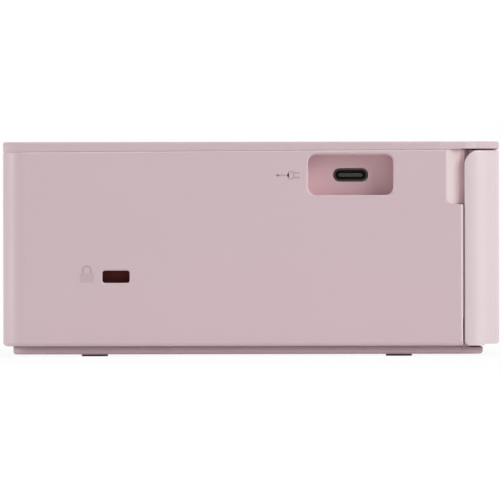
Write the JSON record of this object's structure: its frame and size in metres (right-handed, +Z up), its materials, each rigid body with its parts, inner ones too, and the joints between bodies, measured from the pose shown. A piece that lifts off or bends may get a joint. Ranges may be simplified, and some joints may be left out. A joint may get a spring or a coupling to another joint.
{
  "type": "compact photo printer",
  "caption": "Low box-shaped photo printer with a wrap-round front door, a side door over a ribbon cassette, display, keys, gear train and swinging print head.",
  "frame": {"origin": "on the table under the middle of the body, at the feet's undersides", "axes": "+X along the width to the side with the ribbon door, +Y to the back, +Z up; the front door faces -Y and the cable port faces -X"},
  "size_m": [0.182, 0.133, 0.0582],
  "materials": {
    "pink_shell": "fine moulded texture, pale pink",
    "pink_base": "fine moulded texture, darker pink",
    "pink_key": "satin moulded keys, pale pink",
    "window_glass": "smoked clear window",
    "dark_rubber": "dark grey rubber",
    "sheet_steel": "zinc-plated sheet steel",
    "ground_steel": "ground steel shafts and rollers",
    "cast_aluminium": "extruded aluminium",
    "board_green": "circuit board with solder mask",
    "black_plastic": "black moulded plastic",
    "gear_plastic": "natural acetal",
    "cassette_plastic": "light grey moulded plastic",
    "ribbon_purple": "glossy dye film",
    "lever_blue": "blue-grey moulded plastic",
    "ceramic_white": "white ceramic strip"
  },
  "bodies": {
    "chassis": {"top_cover": "pink_shell", "main_housing": "pink_shell", "base_plate": "pink_base", "front_frame": "pink_base", "hinge_pins": "ground_steel", "lock_plate": "sheet_steel", "rubber_feet": "dark_rubber", "base_screws": "sheet_steel", "display_window": "window_glass", "display_module": "sheet_steel", "key_board": "board_green", "main_board": "board_green", "power_board": "board_green", "usb_socket": "sheet_steel", "usb_tongue": "black_plastic", "card_socket": "sheet_steel", "dc_jack": "black_plastic", "left_frame": "sheet_steel", "right_frame": "sheet_steel", "tie_rods": "ground_steel", "pivot_rods": "ground_steel", "paper_guide": "black_plastic", "feed_motor": "ground_steel", "ribbon_motor": "ground_steel", "motor_bracket": "sheet_steel", "cassette_frame": "cassette_plastic", "ribbon_film": "ribbon_purple", "fan_frame": "black_plastic"},
    "front_door": {"front_door": "pink_shell"},
    "ink_door": {"ink_door": "pink_shell"},
    "eject_lever": {"eject_lever": "lever_blue"},
    "pickup_arm": {"pickup_arm": "gear_plastic"},
    "pickup_roller": {"pickup_roller": "dark_rubber"},
    "print_head": {"head_bridge": "sheet_steel", "head_sink": "cast_aluminium", "head_bar": "ceramic_white"},
    "grip_roller": {"grip_roller": "ground_steel", "grip_gear": "gear_plastic"},
    "pinch_roller": {"pinch_roller": "ground_steel"},
    "idler_gear": {"idler_gear": "gear_plastic"},
    "feed_pinion": {"feed_pinion": "gear_plastic"},
    "platen": {"platen_roller": "dark_rubber", "platen_shaft": "ground_steel"},
    "takeup": {"takeup_gear": "gear_plastic", "takeup_spool": "black_plastic"},
    "ribbon_pinion": {"ribbon_pinion": "gear_plastic"},
    "supply": {"supply_hub": "gear_plastic", "supply_spool": "black_plastic", "supply_roll": "ribbon_purple"},
    "fan_rotor": {"fan_rotor": "black_plastic"},
    "power_key": {"power_key": "pink_key"},
    "menu_key": {"menu_key": "pink_key"},
    "edit_key": {"edit_key": "pink_key"},
    "back_key": {"back_key": "pink_key"},
    "print_key": {"print_key": "pink_key"},
    "ok_key": {"ok_key": "pink_key"},
    "up_key": {"up_key": "pink_key"},
    "down_key": {"down_key": "pink_key"},
    "left_key": {"left_key": "pink_key"},
    "right_key": {"right_key": "pink_key"}
  },
  "joints": [
    {"name": "front_door_hinge", "type": "hinge", "parent": "chassis", "child": "front_door", "pos_m": [0, -0.0636, 0.0056], "axis": [1, 0, 0], "range_deg": [0, 90]},
    {"name": "ink_door_hinge", "type": "hinge", "parent": "chassis", "child": "ink_door", "pos_m": [0.089, 0.013, 0.022], "axis": [0, 1, 0], "range_deg": [0, 92]},
    {"name": "eject_lever_pivot", "type": "hinge", "parent": "chassis", "child": "eject_lever", "pos_m": [0.0642, -0.026, 0.0435], "axis": [0, 0, -1], "range_deg": [0, 8], "stiffness_Nm_per_rad": 0.05},
    {"name": "pickup_arm_swing", "type": "hinge", "parent": "chassis", "child": "pickup_arm", "pos_m": [0, -0.0295, 0.0405], "axis": [1, 0, 0], "range_deg": [0, 28]},
    {"name": "pickup_roller_spin", "type": "hinge", "parent": "pickup_arm", "child": "pickup_roller", "pos_m": [0, -0.043, 0.0375], "axis": [1, 0, 0], "continuous": true},
    {"name": "head_swing", "type": "hinge", "parent": "chassis", "child": "print_head", "pos_m": [0, 0.049, 0.0517], "axis": [1, 0, 0], "range_deg": [0, 3.2]},
    {"name": "grip_roller_spin", "type": "hinge", "parent": "chassis", "child": "grip_roller", "pos_m": [0, -0.0275, 0.0215], "axis": [1, 0, 0], "continuous": true},
    {"name": "pinch_roller_spin", "type": "hinge", "parent": "chassis", "child": "pinch_roller", "pos_m": [0, -0.0275, 0.027], "axis": [1, 0, 0], "continuous": true},
    {"name": "idler_spin", "type": "hinge", "parent": "chassis", "child": "idler_gear", "pos_m": [-0.066, -0.01039, 0.02516], "axis": [1, 0, 0], "continuous": true},
    {"name": "feed_pinion_spin", "type": "hinge", "parent": "chassis", "child": "feed_pinion", "pos_m": [-0.066, -0.008, 0.0135], "axis": [1, 0, 0], "continuous": true},
    {"name": "platen_spin", "type": "hinge", "parent": "chassis", "child": "platen", "pos_m": [0, 0.014, 0.0185], "axis": [1, 0, 0], "continuous": true},
    {"name": "takeup_spin", "type": "hinge", "parent": "chassis", "child": "takeup", "pos_m": [0, 0.038, 0.038], "axis": [1, 0, 0], "continuous": true},
    {"name": "ribbon_pinion_spin", "type": "hinge", "parent": "chassis", "child": "ribbon_pinion", "pos_m": [-0.066, 0.05602, 0.04053], "axis": [1, 0, 0], "continuous": true},
    {"name": "supply_spin", "type": "hinge", "parent": "chassis", "child": "supply", "pos_m": [0, -0.012, 0.038], "axis": [1, 0, 0], "continuous": true},
    {"name": "fan_spin", "type": "hinge", "parent": "chassis", "child": "fan_rotor", "pos_m": [0.0725, 0.0601, 0.038], "axis": [0, 1, 0], "continuous": true},
    {"name": "power_key_press", "type": "slide", "parent": "chassis", "child": "power_key", "axis": [0, 0, -1], "range_m": [0, 0.0004], "stiffness_N_per_m": 800},
    {"name": "menu_key_press", "type": "slide", "parent": "chassis", "child": "menu_key", "axis": [0, 0, -1], "range_m": [0, 0.0004], "stiffness_N_per_m": 800},
    {"name": "edit_key_press", "type": "slide", "parent": "chassis", "child": "edit_key", "axis": [0, 0, -1], "range_m": [0, 0.0004], "stiffness_N_per_m": 800},
    {"name": "back_key_press", "type": "slide", "parent": "chassis", "child": "back_key", "axis": [0, 0, -1], "range_m": [0, 0.0004], "stiffness_N_per_m": 800},
    {"name": "print_key_press", "type": "slide", "parent": "chassis", "child": "print_key", "axis": [0, 0, -1], "range_m": [0, 0.0004], "stiffness_N_per_m": 800},
    {"name": "ok_key_press", "type": "slide", "parent": "chassis", "child": "ok_key", "axis": [0, 0, -1], "range_m": [0, 0.0004], "stiffness_N_per_m": 800},
    {"name": "up_key_press", "type": "slide", "parent": "chassis", "child": "up_key", "axis": [0, 0, -1], "range_m": [0, 0.0004], "stiffness_N_per_m": 800},
    {"name": "down_key_press", "type": "slide", "parent": "chassis", "child": "down_key", "axis": [0, 0, -1], "range_m": [0, 0.0004], "stiffness_N_per_m": 800},
    {"name": "left_key_press", "type": "slide", "parent": "chassis", "child": "left_key", "axis": [0, 0, -1], "range_m": [0, 0.0004], "stiffness_N_per_m": 800},
    {"name": "right_key_press", "type": "slide", "parent": "chassis", "child": "right_key", "axis": [0, 0, -1], "range_m": [0, 0.0004], "stiffness_N_per_m": 800}
  ],
  "couplings": [
    {"joint": "pinch_roller_spin", "follows": "grip_roller_spin", "ratio": -1.3636},
    {"joint": "idler_spin", "follows": "grip_roller_spin", "ratio": -1.2727},
    {"joint": "feed_pinion_spin", "follows": "grip_roller_spin", "ratio": 2.3333},
    {"joint": "ribbon_pinion_spin", "follows": "takeup_spin", "ratio": -3.3333}
  ]
}
